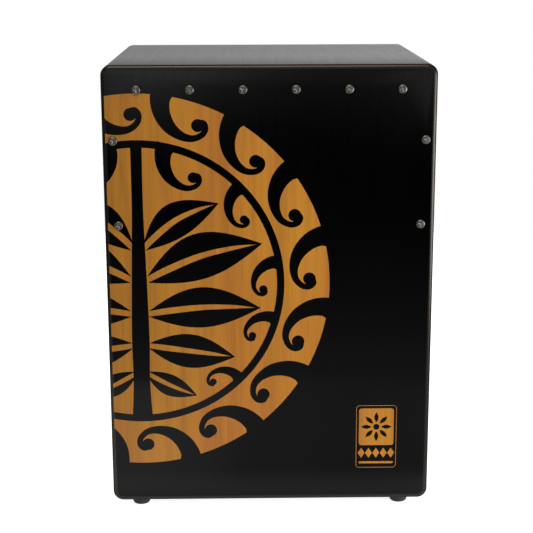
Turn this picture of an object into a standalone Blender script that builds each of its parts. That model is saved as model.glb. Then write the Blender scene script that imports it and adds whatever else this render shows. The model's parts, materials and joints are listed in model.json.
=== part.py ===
"""Cajon: a plywood box drum whose thin front plate, the tapa, is played with the hands.

Metres, +Z up. The tapa faces -Y. The origin is on the floor, under the middle of the box.
Four mitred walls make the box, the back panel with its sound hole and the tapa close it, and
two sets of snare wires stand on a bar just behind the tapa.
"""

import math

import bmesh
import bpy
from mathutils import Matrix

# Driving dimensions
WIDTH = 0.350
DEPTH = 0.295  # face of the tapa to face of the back panel
BOX_HEIGHT = 0.482  # without the feet
WALL = 0.018
TAPA_THICKNESS = 0.003
BACK_THICKNESS = 0.006
CORNER_RADIUS = 0.011  # the box's four long edges
TAPA_ROUND = 0.0026  # round-over of the tapa's front rim
BACK_ROUND = 0.0035  # round-over of the back panel's outer rim
GAP = 0.0003  # between neighbouring pieces

SOUND_HOLE_RADIUS = 0.060
SOUND_HOLE_DROP = 0.172  # from the top of the box to the hole's centre

# Tapa screws
TOP_SCREW_PITCH = 0.0553
TOP_SCREW_COUNT = 6
TOP_SCREW_DROP = 0.0255  # from the top of the box
SIDE_SCREWS = ((0.1637, 0.0785), (0.1602, 0.1686))  # distance from the middle, drop from the top

# Feet
FOOT_HEIGHT = 0.013
FOOT_RADIUS = 0.0105
FOOT_INSET_X = 0.029
FOOT_INSET_Y = 0.027

# Inner woodwork
BATTEN_HEIGHT = 0.015
BATTEN_DEPTH = 0.025
CORNER_BLOCK_LEG = 0.022
SNARE_BAR_DROP = 0.157  # from the top of the box to the bar's middle
SNARE_BAR_HEIGHT = 0.025
SNARE_BAR_DEPTH = 0.020
SNARE_BAR_SETBACK = 0.012  # from the tapa's back to the bar's front
CLEAT_SIZE = (0.025, 0.030, 0.025)

# Snare wires
SNARE_OFFSET = 0.066  # middle of each set, from the middle of the box
STRAND_COUNT = 10
STRAND_PITCH = 0.0042
STRAND_RADIUS = 0.0009
SNARE_PLATE_SIZE = (0.046, 0.0010, 0.014)
SNARE_TOP_DROP = 0.041  # from the top of the box to the wires' free ends
SNARE_TO_TAPA = 0.0004

# Worked out from the dimensions above
BOX_BOTTOM = FOOT_HEIGHT
BOX_TOP = FOOT_HEIGHT + BOX_HEIGHT
BOX_MIDDLE = FOOT_HEIGHT + BOX_HEIGHT / 2
TAPA_FACE = -DEPTH / 2
TAPA_BACK = TAPA_FACE + TAPA_THICKNESS
BACK_FACE = DEPTH / 2
WALL_FRONT = TAPA_BACK + GAP
WALL_REAR = BACK_FACE - BACK_THICKNESS - GAP
INNER_HALF_WIDTH = WIDTH / 2 - WALL
INNER_TOP = BOX_TOP - WALL
INNER_BOTTOM = BOX_BOTTOM + WALL
SNARE_BAR_FRONT = TAPA_BACK + SNARE_BAR_SETBACK
SNARE_BAR_Z = BOX_TOP - SNARE_BAR_DROP

# Screw kinds: head radius, head height, shank radius, length under the head, facets
TAPA_SCREW = (0.0048, 0.0026, 0.0021, 0.0220, 16)
FOOT_SCREW = (0.0039, 0.0024, 0.0018, 0.0170, 12)
BAR_SCREW = (0.0036, 0.0022, 0.0017, 0.0300, 12)
PLATE_SCREW = (0.0030, 0.0018, 0.0014, 0.0100, 12)

# Colour, roughness and metallic value of each material
FINISHES = {
    "black_lacquer": ((0.012, 0.012, 0.013, 1), 0.42, 0.0),
    "tapa_lacquer": ((0.010, 0.010, 0.011, 1), 0.36, 0.0),
    "raw_wood": ((0.55, 0.38, 0.22, 1), 0.75, 0.0),
    "nickel_steel": ((0.42, 0.41, 0.40, 1), 0.32, 1.0),
    "snare_steel": ((0.62, 0.62, 0.61, 1), 0.25, 1.0),
    "black_rubber": ((0.018, 0.018, 0.018, 1), 0.70, 0.0),
}

ARC_STEPS = 6  # facets in each quarter of a rounded corner
HOLE_FACETS = 16
SOUND_HOLE_FACETS = 48


def clear_scene():
    for obj in list(bpy.data.objects):
        bpy.data.objects.remove(obj)


def material(slot):
    """The named Principled material, made when it is first asked for."""
    made = bpy.data.materials.get(slot)
    if made is None:
        made = bpy.data.materials.new(slot)
        made.use_nodes = True
        colour, roughness, metallic = FINISHES[slot]
        shader = made.node_tree.nodes["Principled BSDF"]
        shader.inputs["Base Color"].default_value = colour
        shader.inputs["Roughness"].default_value = roughness
        shader.inputs["Metallic"].default_value = metallic
    return made


def add_object(name, mesh, slot, place=Matrix.Identity(4)):
    """An object in the scene with that mesh and material, put in place by its matrix."""
    obj = bpy.data.objects.new(name, mesh)
    bpy.context.scene.collection.objects.link(obj)
    obj.matrix_world = place
    if slot and not mesh.materials:
        mesh.materials.append(material(slot))
    return obj


def add_cutter(name, mesh, place=Matrix.Identity(4)):
    """A helper that only cuts: it is drawn as wire and left out of renders."""
    cutter = add_object(name, mesh, None, place)
    cutter.hide_render = True
    cutter.display_type = "WIRE"
    return cutter


def cut(obj, cutter):
    modifier = obj.modifiers.new("cut_" + cutter.name, "BOOLEAN")
    modifier.operation = "DIFFERENCE"
    modifier.object = cutter


def mesh_from(bm, name, smooth_angle=None):
    """Closes a bmesh into a mesh with its faces pointing out, smooth below the given angle."""
    bmesh.ops.recalc_face_normals(bm, faces=bm.faces)
    mesh = bpy.data.meshes.new(name)
    bm.to_mesh(mesh)
    bm.free()
    if smooth_angle:
        mesh.shade_smooth()
        mesh.set_sharp_from_angle(angle=math.radians(smooth_angle))
    return mesh


def arc(centre, radius, start, end, steps=ARC_STEPS):
    """Points on a circle's arc between two angles, in degrees."""
    angles = [math.radians(start + (end - start) * k / steps) for k in range(steps + 1)]
    return [(centre[0] + radius * math.cos(a), centre[1] + radius * math.sin(a)) for a in angles]


def extruded(outline, depth):
    """A bmesh of a flat outline, given as (x, z), extruded from y 0 to y depth."""
    bm = bmesh.new()
    face = bm.faces.new([bm.verts.new((x, 0, z)) for x, z in outline])
    grown = bmesh.ops.extrude_face_region(bm, geom=[face])
    moved = [v for v in grown["geom"] if isinstance(v, bmesh.types.BMVert)]
    bmesh.ops.translate(bm, verts=moved, vec=(0, depth, 0))
    return bm


def turned(profile, facets, closed=False):
    """A bmesh turned about Z from (radius, height) points. A closed profile goes round a hole."""
    bm = bmesh.new()
    verts = [bm.verts.new((radius, 0, height)) for radius, height in profile]
    pairs = list(zip(verts, verts[1:]))
    if closed:
        pairs.append((verts[-1], verts[0]))
    edges = [bm.edges.new(pair) for pair in pairs]
    bmesh.ops.spin(
        bm, geom=verts + edges, cent=(0, 0, 0), axis=(0, 0, 1), angle=math.tau, steps=facets, use_merge=True
    )
    bmesh.ops.remove_doubles(bm, verts=bm.verts, dist=1e-7)
    return bm


def block(size):
    """A bmesh of a box about its own centre."""
    bm = bmesh.new()
    bmesh.ops.create_cube(bm, size=1, matrix=Matrix.Diagonal((*size, 1)))
    return bm


def rounded_rectangle(width, height, radius):
    """The outline of a rounded rectangle about the origin, anticlockwise."""
    x, z = width / 2 - radius, height / 2 - radius
    corners = (((x, z), 0), ((-x, z), 90), ((-x, -z), 180), ((x, -z), 270))
    return [point for centre, start in corners for point in arc(centre, radius, start, start + 90)]


def drill(name, places, radius, length):
    """A cutter of equal round holes. Each place puts a hole's mouth at its origin, going down -Z."""
    overshoot = 0.002  # how far the cutter stands out of the mouth
    bm = bmesh.new()
    for place in places:
        middle = Matrix.Translation((0, 0, (overshoot - length) / 2))
        bmesh.ops.create_cone(
            bm,
            cap_ends=True,
            segments=HOLE_FACETS,
            radius1=radius,
            radius2=radius,
            depth=length + overshoot,
            matrix=place @ middle,
        )
    return add_cutter(name, mesh_from(bm, name))


def facing(x, y, z, direction):
    """A matrix at that point whose own +Z looks front, back, up or down."""
    turns = {"front": ("X", 90), "back": ("X", -90), "up": ("X", 0), "down": ("X", 180)}
    axis, degrees = turns[direction]
    return Matrix.Translation((x, y, z)) @ Matrix.Rotation(math.radians(degrees), 4, axis)


# The box


def wall_outline(length):
    """A wall seen from its end: outer face at z 0, mitred and rounded at both ends.

    The two mitre faces lie half a gap back from the 45 degree plane through the corner.
    """
    slant = math.degrees(math.asin(GAP / 2 / CORNER_RADIUS))
    arc_end = 45 + slant
    arc_x = length / 2 - CORNER_RADIUS
    inner_x = length / 2 - WALL - GAP / 2 * math.sqrt(2)
    right = arc((arc_x, -CORNER_RADIUS), CORNER_RADIUS, arc_end, 90, ARC_STEPS // 2)
    left = arc((-arc_x, -CORNER_RADIUS), CORNER_RADIUS, 90, 180 - arc_end, ARC_STEPS // 2)
    return [(inner_x, -WALL), *right, *left, (-inner_x, -WALL)]


def build_walls():
    """Top, bottom and two sides, each turned about the box's length from the same outline."""
    depth = WALL_REAR - WALL_FRONT
    sides = (
        ("top_panel", WIDTH, BOX_HEIGHT / 2, 0),
        ("right_panel", BOX_HEIGHT, WIDTH / 2, 90),
        ("bottom_panel", WIDTH, BOX_HEIGHT / 2, 180),
        ("left_panel", BOX_HEIGHT, WIDTH / 2, 270),
    )
    walls = {}
    for name, length, distance, degrees in sides:
        mesh = mesh_from(extruded(wall_outline(length), depth), name, 30)
        turn = Matrix.Rotation(math.radians(degrees), 4, "Y")
        place = Matrix.Translation((0, WALL_FRONT, BOX_MIDDLE)) @ turn @ Matrix.Translation((0, 0, distance))
        walls[name] = add_object(name, mesh, "black_lacquer", place)
    return walls


def plate(name, thickness, edge_radius, slot, y):
    """A full-size plate, its outer face towards -Y at y 0, with that face's rim rounded over."""
    bm = extruded(rounded_rectangle(WIDTH, BOX_HEIGHT, CORNER_RADIUS), thickness)
    rim = [e for e in bm.edges if all(abs(v.co.y) < 1e-6 for v in e.verts)]
    bmesh.ops.bevel(bm, geom=rim, offset=edge_radius, segments=3, profile=0.5, affect="EDGES")
    mesh = mesh_from(bm, name, 30)
    return add_object(name, mesh, slot, Matrix.Translation((0, y, BOX_MIDDLE)))


def build_tapa(screw_places):
    tapa = plate("tapa", TAPA_THICKNESS, TAPA_ROUND, "tapa_lacquer", TAPA_FACE)
    radius = TAPA_SCREW[2] + GAP
    cut(tapa, drill("tapa_holes", screw_places, radius, TAPA_THICKNESS + 0.002))
    return tapa


def sound_hole_cutter():
    """A spool that cuts the sound hole and rounds its outer and inner rims."""
    outer_round, inner_round, beyond = 0.0025, 0.0015, 0.004
    hole, thickness = SOUND_HOLE_RADIUS, BACK_THICKNESS
    outer = arc((hole + outer_round, -outer_round), outer_round, 90, 180, 3)
    inner = arc((hole + inner_round, inner_round - thickness), inner_round, 180, 270, 2)
    profile = [(0, beyond), (hole + outer_round, beyond), *outer, *inner]
    profile += [(hole + inner_round, -thickness - beyond), (0, -thickness - beyond)]
    mesh = mesh_from(turned(profile, SOUND_HOLE_FACETS), "sound_hole_cutter")
    return add_cutter("sound_hole_cutter", mesh, facing(0, BACK_FACE, BOX_TOP - SOUND_HOLE_DROP, "back"))


def build_back():
    back = plate("back_panel", BACK_THICKNESS, BACK_ROUND, "black_lacquer", 0)
    back.matrix_world = Matrix.Translation((0, BACK_FACE, BOX_MIDDLE)) @ Matrix.Rotation(math.pi, 4, "Z")
    cut(back, sound_hole_cutter())
    return back


def build_batten(top_places):
    """The strip under the top panel that the tapa's top row of screws bites into."""
    size = (2 * (INNER_HALF_WIDTH - GAP), BATTEN_DEPTH, BATTEN_HEIGHT)
    centre = (0, WALL_FRONT + BATTEN_DEPTH / 2, INNER_TOP - GAP - BATTEN_HEIGHT / 2)
    batten = add_object(
        "top_batten", mesh_from(block(size), "top_batten"), "raw_wood", Matrix.Translation(centre)
    )
    cut(batten, drill("batten_holes", top_places, TAPA_SCREW[2] + GAP, TAPA_SCREW[3] + 0.001))
    return batten


def build_corner_blocks():
    """A three-sided glue block along each inner corner, its sharp edges planed off."""
    leg, flat = CORNER_BLOCK_LEG, 0.002
    outline = [(0, 0), (-leg, 0), (-leg, -flat), (-flat, -leg), (0, -leg)]
    front = WALL_FRONT + BATTEN_DEPTH + 0.003
    depth = WALL_REAR - GAP - front
    for level, z, up in (("top", INNER_TOP - GAP, 1), ("bottom", INNER_BOTTOM + GAP, -1)):
        for side, sign in (("left", -1), ("right", 1)):
            points = [(sign * x, up * z_local) for x, z_local in outline]
            name = f"corner_block_{level}_{side}"
            mesh = mesh_from(extruded(points, depth), name)
            place = Matrix.Translation((sign * (INNER_HALF_WIDTH - GAP), front, z))
            add_object(name, mesh, "raw_wood", place)


# Screws


def cross_recess(arm, depth):
    """A tapered cross, mouth up at z 0, that cuts a screwdriver's recess."""
    bm = bmesh.new()
    half_slot = arm * 0.20
    corner = [(arm, -half_slot), (arm, half_slot), (half_slot, half_slot)]
    quarter_turns = [(math.cos(k * math.pi / 2), math.sin(k * math.pi / 2)) for k in range(4)]
    outline = [(x * c - y * s, x * s + y * c) for c, s in quarter_turns for x, y in corner]
    rings = []
    for scale, z in ((1.15, depth * 0.4), (0.45, -depth)):
        ring = [bm.verts.new((x * scale, y * scale, z)) for x, y in outline]
        rings += [bm.edges.new(pair) for pair in zip(ring, ring[1:] + ring[:1])]
        bm.faces.new(ring)
    bmesh.ops.bridge_loops(bm, edges=rings)
    return bm


def screw_mesh(name, kind):
    """A pan-head screw with a cross recess: head towards +Z, the head's underside at z 0."""
    head_radius, head_height, shank_radius, length, facets = kind
    dome = [(0.0, 1.0), (0.50, 0.97), (0.80, 0.83), (0.96, 0.58), (1.0, 0.28), (0.97, 0.0)]
    tip = shank_radius * 2.2
    profile = [(head_radius * r, head_height * h) for r, h in dome]
    profile += [(shank_radius, 0), (shank_radius, tip - length), (0, -length)]
    blank = add_object("blank", mesh_from(turned(profile, facets), "blank"), None)
    recess = mesh_from(cross_recess(head_radius * 0.58, head_height * 0.62), "recess")
    cutter = add_cutter("recess", recess, Matrix.Translation((0, 0, head_height)))
    cut(blank, cutter)
    bpy.context.view_layer.update()
    finished = blank.evaluated_get(bpy.context.evaluated_depsgraph_get())
    mesh = bpy.data.meshes.new_from_object(finished)
    mesh.name = name
    mesh.shade_smooth()
    mesh.set_sharp_from_angle(angle=math.radians(40))
    mesh.materials.append(material("nickel_steel"))
    for helper in (blank, cutter):
        bpy.data.objects.remove(helper)
    return mesh


def tapa_screw_places():
    """(name, x, z) of each tapa screw: the top row from left to right, then each side from the top."""
    first = -TOP_SCREW_PITCH * (TOP_SCREW_COUNT - 1) / 2
    top = [
        (f"tapa_screw_top_{k + 1}", first + k * TOP_SCREW_PITCH, BOX_TOP - TOP_SCREW_DROP)
        for k in range(TOP_SCREW_COUNT)
    ]
    sides = [
        (f"tapa_screw_{side}_{k + 1}", sign * x, BOX_TOP - drop)
        for side, sign in (("left", -1), ("right", 1))
        for k, (x, drop) in enumerate(SIDE_SCREWS)
    ]
    return top, sides


def build_tapa_screws(places):
    """Each screw's origin is on its own axis, at the middle of its head's underside."""
    mesh = screw_mesh("tapa_screw", TAPA_SCREW)
    for name, x, z in places:
        add_object(name, mesh, None, facing(x, TAPA_FACE - GAP, z, "front"))


# Feet


def foot_mesh():
    """A rubber foot about Z, standing on z 0, counterbored from below for its washer and screw."""
    top, bottom_radius, edge = FOOT_HEIGHT - GAP, 0.0092, 0.0018
    bore, counterbore, shoulder = FOOT_SCREW[2] + 2 * GAP, 0.0048, 0.0070
    profile = [(bore, top), (FOOT_RADIUS - 0.0006, top), (FOOT_RADIUS, top - 0.0006)]
    profile += [(FOOT_RADIUS - 0.0001, 0.0075), (bottom_radius + 0.0005, 0.0034)]
    profile += arc((bottom_radius - edge, edge), edge, 0, -90, 3)
    profile += [(counterbore, 0), (counterbore, shoulder), (bore, shoulder)]
    return mesh_from(turned(profile, 24, closed=True), "foot", 35), shoulder


def build_feet(bottom_panel):
    """Four feet, each with its steel washer and its screw up into the bottom panel."""
    mesh, shoulder = foot_mesh()
    washer_top, washer_thickness = shoulder - GAP, 0.0008
    washer_bottom = washer_top - washer_thickness
    inner, outer = FOOT_SCREW[2] + GAP, 0.0044
    ring = [(inner, washer_top), (outer, washer_top), (outer, washer_bottom), (inner, washer_bottom)]
    washer = mesh_from(turned(ring, HOLE_FACETS, closed=True), "foot_washer", 35)
    screw = screw_mesh("foot_screw", FOOT_SCREW)
    holes = []
    for depth_name, y_sign in (("front", -1), ("rear", 1)):
        for side, x_sign in (("left", -1), ("right", 1)):
            x = x_sign * (WIDTH / 2 - FOOT_INSET_X)
            y = y_sign * (DEPTH / 2 - FOOT_INSET_Y)
            place = Matrix.Translation((x, y, 0))
            add_object(f"foot_{depth_name}_{side}", mesh, "black_rubber", place)
            add_object(f"foot_washer_{depth_name}_{side}", washer, "nickel_steel", place)
            add_object(
                f"foot_screw_{depth_name}_{side}", screw, None, facing(x, y, washer_bottom - GAP, "down")
            )
            holes.append(facing(x, y, BOX_BOTTOM, "down"))
    reach = washer_bottom - GAP + FOOT_SCREW[3] - BOX_BOTTOM
    cut(bottom_panel, drill("foot_screw_holes", holes, FOOT_SCREW[2] + GAP, reach + 0.001))


# Snares


def snare_mesh():
    """A clamping plate with its wires soldered on, leaning forward to the tapa.

    y 0 is the plate's front face and z 0 its middle. Each wire is a coil, drawn here as a rod.
    """
    width, thickness, height = SNARE_PLATE_SIZE
    rise = BOX_TOP - SNARE_TOP_DROP - SNARE_BAR_Z
    root_z = height / 2 - 0.003
    plate_front = SNARE_BAR_FRONT - GAP - thickness
    tip_y = TAPA_BACK + SNARE_TO_TAPA + STRAND_RADIUS - plate_front
    root_y = STRAND_RADIUS * -0.3
    lean = math.atan2(root_y - tip_y, rise - root_z)
    length = math.hypot(root_y - tip_y, rise - root_z)
    bm = block(SNARE_PLATE_SIZE)
    bmesh.ops.translate(bm, verts=bm.verts, vec=(0, thickness / 2, 0))
    base = add_object("snare_base", mesh_from(bm, "snare_base"), None)
    strands = bmesh.new()
    for k in range(STRAND_COUNT):
        x = (k - (STRAND_COUNT - 1) / 2) * STRAND_PITCH
        place = Matrix.Translation((x, root_y, root_z)) @ Matrix.Rotation(lean, 4, "X")
        bmesh.ops.create_cone(
            strands,
            cap_ends=True,
            segments=6,
            radius1=STRAND_RADIUS,
            radius2=STRAND_RADIUS,
            depth=length,
            matrix=place @ Matrix.Translation((0, 0, length / 2)),
        )
    wires = add_cutter("snare_strands", mesh_from(strands, "snare_strands"))
    join = base.modifiers.new("solder", "BOOLEAN")
    join.operation = "UNION"
    join.object = wires
    bpy.context.view_layer.update()
    joined = base.evaluated_get(bpy.context.evaluated_depsgraph_get())
    mesh = bpy.data.meshes.new_from_object(joined)
    mesh.name = "snare_wires"
    for helper in (base, wires):
        bpy.data.objects.remove(helper)
    return mesh


def build_snares(bar):
    """Two sets of wires, each held on the bar's front by two small screws."""
    width, thickness, _ = SNARE_PLATE_SIZE
    front = SNARE_BAR_FRONT - GAP - thickness
    mesh = snare_mesh()
    screw = screw_mesh("snare_screw", PLATE_SCREW)
    spread, drop = width / 2 - 0.006, 0.0025
    holes = []
    for side, sign in (("left", -1), ("right", 1)):
        middle = sign * SNARE_OFFSET
        wires = add_object(
            f"snare_wires_{side}", mesh, "snare_steel", Matrix.Translation((middle, front, SNARE_BAR_Z))
        )
        places = []
        for end, offset in (("outer", sign * spread), ("inner", -sign * spread)):
            x, z = middle + offset, SNARE_BAR_Z - drop
            add_object(f"snare_screw_{side}_{end}", screw, None, facing(x, front - GAP, z, "front"))
            places.append(facing(x, front, z, "front"))
        radius = PLATE_SCREW[2] + GAP
        cut(wires, drill(f"snare_plate_holes_{side}", places, radius, thickness + 0.0002))
        holes += places
    cut(bar, drill("snare_bar_holes", holes, PLATE_SCREW[2] + GAP, PLATE_SCREW[3] + 0.001))


def build_snare_bar():
    """A bar across the box, standing on a cleat at each end and screwed to it from below."""
    size = (2 * (INNER_HALF_WIDTH - GAP), SNARE_BAR_DEPTH, SNARE_BAR_HEIGHT)
    bar_y = SNARE_BAR_FRONT + SNARE_BAR_DEPTH / 2
    bar = add_object(
        "snare_bar", mesh_from(block(size), "snare_bar"), "raw_wood",
        Matrix.Translation((0, bar_y, SNARE_BAR_Z)),
    )
    screw = screw_mesh("bar_screw", BAR_SCREW)
    cleat_top = SNARE_BAR_Z - SNARE_BAR_HEIGHT / 2 - GAP
    cleat_bottom = cleat_top - CLEAT_SIZE[2]
    holes = []
    for side, sign in (("left", -1), ("right", 1)):
        x = sign * (INNER_HALF_WIDTH - GAP - CLEAT_SIZE[0] / 2)
        name = f"snare_cleat_{side}"
        cleat_y = SNARE_BAR_FRONT + CLEAT_SIZE[1] / 2
        centre = (x, cleat_y, cleat_top - CLEAT_SIZE[2] / 2)
        cleat = add_object(
            name, mesh_from(block(CLEAT_SIZE), name), "raw_wood", Matrix.Translation(centre)
        )
        add_object(f"bar_screw_{side}", screw, None, facing(x, bar_y, cleat_bottom - GAP, "down"))
        hole = facing(x, bar_y, cleat_bottom, "down")
        cut(cleat, drill(f"cleat_hole_{side}", [hole], BAR_SCREW[2] + GAP, CLEAT_SIZE[2] + 0.002))
        holes.append(hole)
    cut(bar, drill("bar_screw_holes", holes, BAR_SCREW[2] + GAP, BAR_SCREW[3] + 0.001))
    return bar


def main():
    clear_scene()
    walls = build_walls()
    top_row, sides = tapa_screw_places()

    def mouths(rows, y):
        return [facing(x, y, z, "front") for _, x, z in rows]

    build_tapa(mouths(top_row + sides, TAPA_FACE))
    build_batten(mouths(top_row, WALL_FRONT))
    for name, rows in (("left_panel", sides[:2]), ("right_panel", sides[2:])):
        holes = drill(f"{name}_holes", mouths(rows, WALL_FRONT), TAPA_SCREW[2] + GAP, TAPA_SCREW[3] + 0.001)
        cut(walls[name], holes)
    build_back()
    build_corner_blocks()
    build_tapa_screws(top_row + sides)
    build_feet(walls["bottom_panel"])
    bar = build_snare_bar()
    build_snares(bar)


main()
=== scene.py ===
import json
import math
import random

import bmesh
import bpy
import numpy as np
from mathutils import Matrix, Vector, geometry

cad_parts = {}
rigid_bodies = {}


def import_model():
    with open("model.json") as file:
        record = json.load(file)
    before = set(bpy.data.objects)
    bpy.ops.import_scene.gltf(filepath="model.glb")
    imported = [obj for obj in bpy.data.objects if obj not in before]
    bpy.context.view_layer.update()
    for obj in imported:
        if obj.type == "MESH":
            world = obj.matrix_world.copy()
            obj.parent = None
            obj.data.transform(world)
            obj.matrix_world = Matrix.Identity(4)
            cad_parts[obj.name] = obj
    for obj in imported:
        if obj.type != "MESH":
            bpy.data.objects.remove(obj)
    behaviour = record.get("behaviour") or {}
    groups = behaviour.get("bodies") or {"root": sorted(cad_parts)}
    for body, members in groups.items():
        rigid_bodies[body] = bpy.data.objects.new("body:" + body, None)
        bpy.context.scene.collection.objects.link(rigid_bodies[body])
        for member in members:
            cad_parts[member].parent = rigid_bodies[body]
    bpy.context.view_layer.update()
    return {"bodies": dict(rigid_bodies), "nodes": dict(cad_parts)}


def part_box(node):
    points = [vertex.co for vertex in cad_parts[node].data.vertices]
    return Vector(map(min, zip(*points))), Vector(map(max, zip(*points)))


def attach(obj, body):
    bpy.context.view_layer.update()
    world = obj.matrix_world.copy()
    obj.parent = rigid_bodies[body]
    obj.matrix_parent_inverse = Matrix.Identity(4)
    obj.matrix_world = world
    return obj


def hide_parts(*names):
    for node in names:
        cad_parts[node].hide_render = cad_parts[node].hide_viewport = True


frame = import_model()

# Looks of a cajon: satin black lacquer, an amber half-disc ornament on the tapa, pan-head screws,
# rubber feet and, inside, bare wood and two sets of coiled snare wires. Metres, +Z up.

MM = 0.001

# From the frame
TAPA_LOW, TAPA_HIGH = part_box("tapa")
BACK_LOW, BACK_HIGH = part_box("back_panel")
TOP_LOW, TOP_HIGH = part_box("top_panel")
WIDTH = TAPA_HIGH.x - TAPA_LOW.x
BOX_HEIGHT = TAPA_HIGH.z - TAPA_LOW.z
BOX_MIDDLE = (TAPA_HIGH.z + TAPA_LOW.z) / 2
FACE_Y = TAPA_LOW.y
WALL = TOP_HIGH.z - TOP_LOW.z

# The woodwork's own roundings
CORNER_RADIUS = 0.011
TAPA_ROUND = (0.0046, 0.0028)  # across the face, and into its thickness
TAPA_SPRAYED = 0.0007  # how deep the lacquer goes before the edge's bare plies
BACK_ROUND = (0.0040, 0.0040)
WALL_RIM_ROUND = 0.0006
SOUND_HOLE_RADIUS = 0.060
SOUND_HOLE_DROP = 0.172  # from the top of the box to the hole's centre
SCREW_HOLE_RADIUS = 0.0024

# Ornament
MEDALLION_X = 0.035  # from the tapa's left edge to the disc's centre
MEDALLION_Z = 0.2488  # from the tapa's bottom edge
LEFT_BORDER = 0.0034  # black strip left along the tapa's left edge
BAND_OUTER, BAND_INNER, FIELD = 204.0, 155.5, 147.5  # radii in millimetres
WAVES_IN_CIRCLE = 16
FIRST_WAVE = 9.0  # degrees clockwise from straight up

# Badge
BADGE_X, BADGE_Z = 0.1171, 0.0732  # from the tapa's middle, and up from its bottom edge
BADGE_WIDTH, BADGE_HEIGHT = 44.6, 73.0  # in millimetres
PAINT_THICKNESS = 0.00006

# Stage
FLOOR_RADIUS = 1.0
FLOOR_IN_FRONT = 0.46  # from the tapa's face to the floor's front edge


# Materials


def new_material(name, **sockets):
    """A Principled material with those socket values, its node tree and its shader."""
    made = bpy.data.materials.new(name)
    made.use_nodes = True
    shader = made.node_tree.nodes["Principled BSDF"]
    for socket, value in sockets.items():
        shader.inputs[socket.replace("_", " ")].default_value = value
    return made, made.node_tree, shader


def add_node(tree, kind, **inputs):
    node = tree.nodes.new(kind)
    for key, value in inputs.items():
        node.inputs[key.replace("_", " ")].default_value = value
    return node


def stretched(tree, scale):
    """Object coordinates scaled along each axis, so that a texture runs with the grain."""
    coords = tree.nodes.new("ShaderNodeTexCoord")
    mapping = add_node(tree, "ShaderNodeMapping", Scale=scale)
    tree.links.new(coords.outputs["Object"], mapping.inputs["Vector"])
    return mapping.outputs["Vector"]


def noise(tree, scale, detail=2.0, roughness=0.5, distortion=0.0):
    node = add_node(
        tree, "ShaderNodeTexNoise", Scale=1.0, Detail=detail, Roughness=roughness, Distortion=distortion
    )
    tree.links.new(stretched(tree, scale), node.inputs["Vector"])
    return node.outputs["Fac"]


def ramp(tree, value, *stops):
    """A colour ramp of (position, grey or colour) stops."""
    node = tree.nodes.new("ShaderNodeValToRGB")
    elements = node.color_ramp.elements
    while len(elements) < len(stops):
        elements.new(0.5)
    for element, (position, colour) in zip(elements, stops):
        element.position = position
        element.color = (*colour, 1) if isinstance(colour, tuple) else (colour, colour, colour, 1)
    tree.links.new(value, node.inputs["Fac"])
    return node.outputs["Color"]


def mixed(tree, factor, first, second, blend="MIX"):
    """first and second, each a socket or a colour, mixed by a socket or a number."""
    node = tree.nodes.new("ShaderNodeMix")
    node.data_type = "RGBA"
    node.blend_type = blend
    for index, value in ((0, factor), (6, first), (7, second)):
        socket = node.inputs[index]
        if isinstance(value, bpy.types.NodeSocket):
            tree.links.new(value, socket)
        else:
            socket.default_value = (*value, 1) if isinstance(value, tuple) else value
    return node.outputs[2]


def math_node(tree, operation, first, second):
    node = tree.nodes.new("ShaderNodeMath")
    node.operation = operation
    for socket, value in zip(node.inputs, (first, second)):
        if isinstance(value, bpy.types.NodeSocket):
            tree.links.new(value, socket)
        else:
            socket.default_value = value
    return node.outputs["Value"]


def pool(tree, coords, axis, scale, offset, *stops):
    """A colour ramp along one axis of the coordinates, times scale and plus offset."""
    split = tree.nodes.new("ShaderNodeSeparateXYZ")
    tree.links.new(coords, split.inputs["Vector"])
    along = math_node(tree, "MULTIPLY_ADD", split.outputs[axis], scale)
    along.node.inputs[2].default_value = offset
    return ramp(tree, along, *stops)


def bumped(tree, shader, height, distance, strength=1.0):
    """Raises the surface by height, a socket from 0 to 1, times distance in metres."""
    bump = add_node(tree, "ShaderNodeBump", Strength=strength, Distance=distance)
    tree.links.new(height, bump.inputs["Height"])
    tree.links.new(bump.outputs["Normal"], shader.inputs["Normal"])


def lacquer(name, grain_axis, base, roughness, specular, tint=(1.0, 1.0, 1.0)):
    """Sprayed satin black: the wood's grain shows faintly through it, with a fine orange peel."""
    made, tree, shader = new_material(name, Specular_IOR_Level=specular, Specular_Tint=(*tint, 1.0))
    across = [190.0, 190.0, 190.0]
    across[grain_axis] = 7.0
    grain = noise(tree, across, 4.0, 0.6)
    cloud = noise(tree, (9, 9, 9), 3.0, 0.55)
    tone = ramp(tree, cloud, (0.35, base * 0.8), (0.65, base * 1.25))
    tree.links.new(tone, shader.inputs["Base Color"])
    gloss = mixed(tree, 0.35, ramp(tree, cloud, (0.3, roughness[0]), (0.7, roughness[1])), grain)
    spread = math_node(tree, "MULTIPLY_ADD", gloss, 0.35)
    spread.node.inputs[2].default_value = roughness[0] - 0.13
    tree.links.new(spread, shader.inputs["Roughness"])
    peel = noise(tree, (900, 900, 900), 1.0, 0.5)
    bumped(tree, shader, mixed(tree, 0.3, grain, peel), 0.00005, 0.6)
    return made


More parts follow.
